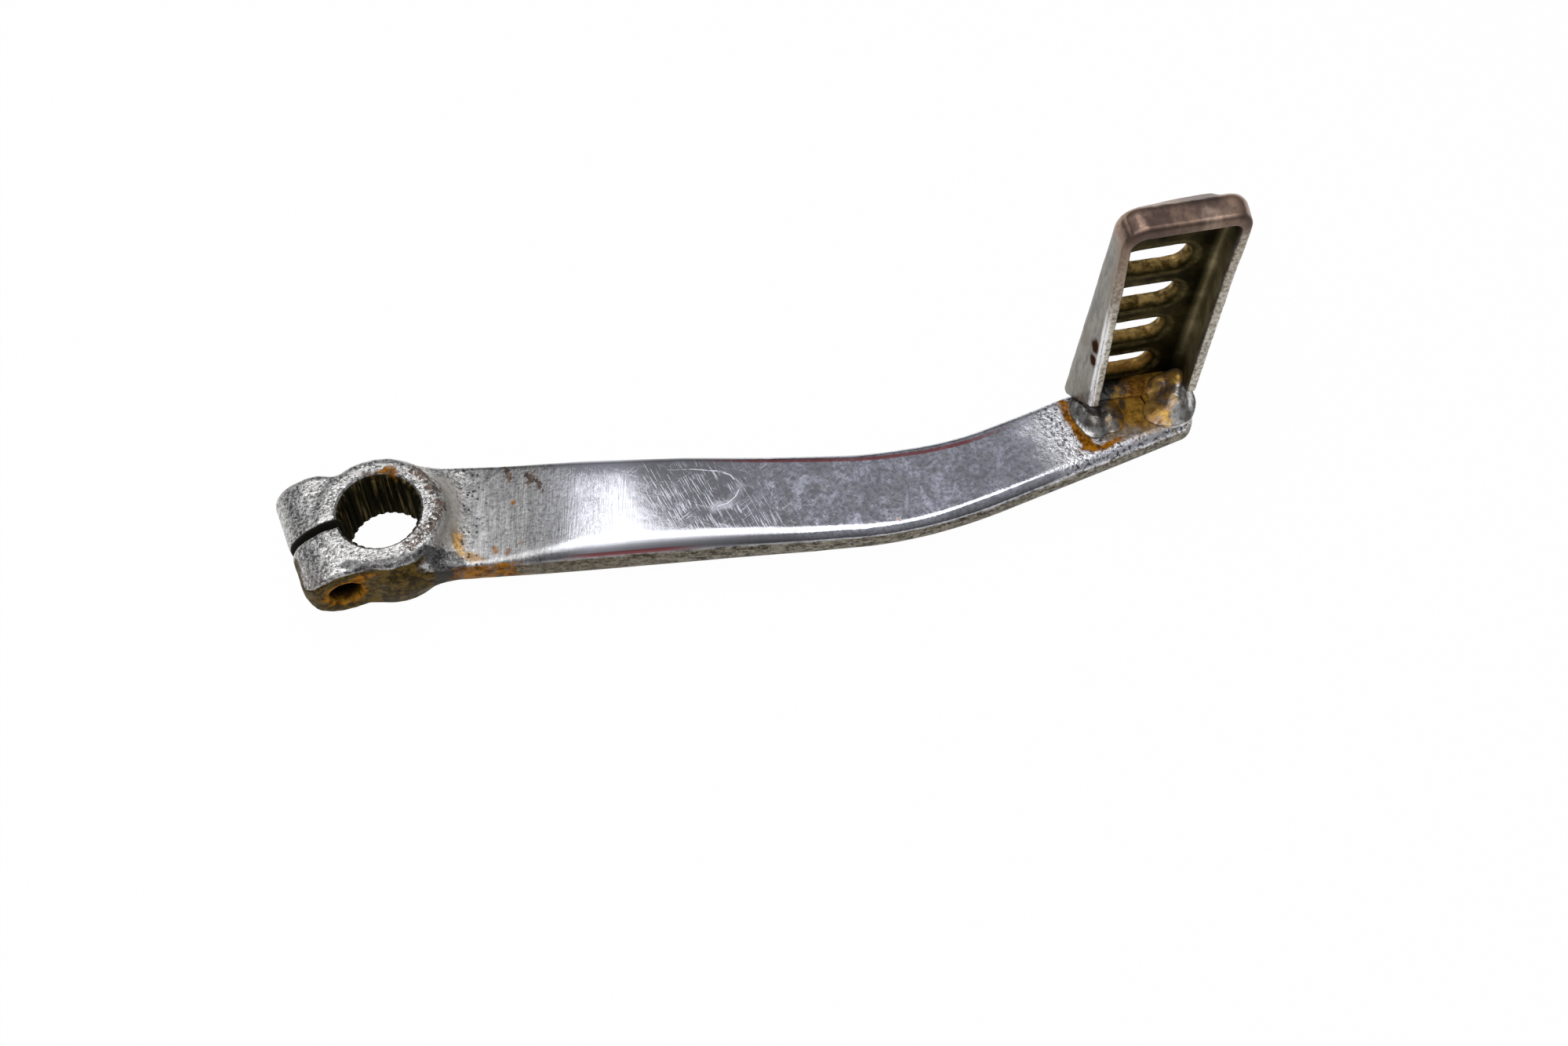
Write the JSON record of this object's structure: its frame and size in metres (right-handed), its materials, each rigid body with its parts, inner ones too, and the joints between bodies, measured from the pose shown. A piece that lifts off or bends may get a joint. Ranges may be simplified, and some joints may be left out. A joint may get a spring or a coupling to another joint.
{
  "type": "brake pedal",
  "caption": "Forged lever with a splined clamp boss at one end and a slotted pressed foot pad welded upright across its bent tip.",
  "frame": {"origin": "on the shaft axis at the boss's inboard face", "axes": "+X along the blade's straight stretch towards the pad, +Z outboard along the shaft axis, the way the pad sticks out"},
  "size_m": [0.1876, 0.0447, 0.069],
  "materials": {
    "forging": "worn and pitted over a rough forging",
    "pad_sheet": "dull and stained",
    "weld_metal": "shiny lumps",
    "stained_weld": "brown stain"
  },
  "bodies": {
    "root": {"arm": "forging", "pad": "pad_sheet", "left_weld": "weld_metal", "right_weld": "weld_metal", "foot_weld": "stained_weld"}
  },
  "joints": []
}
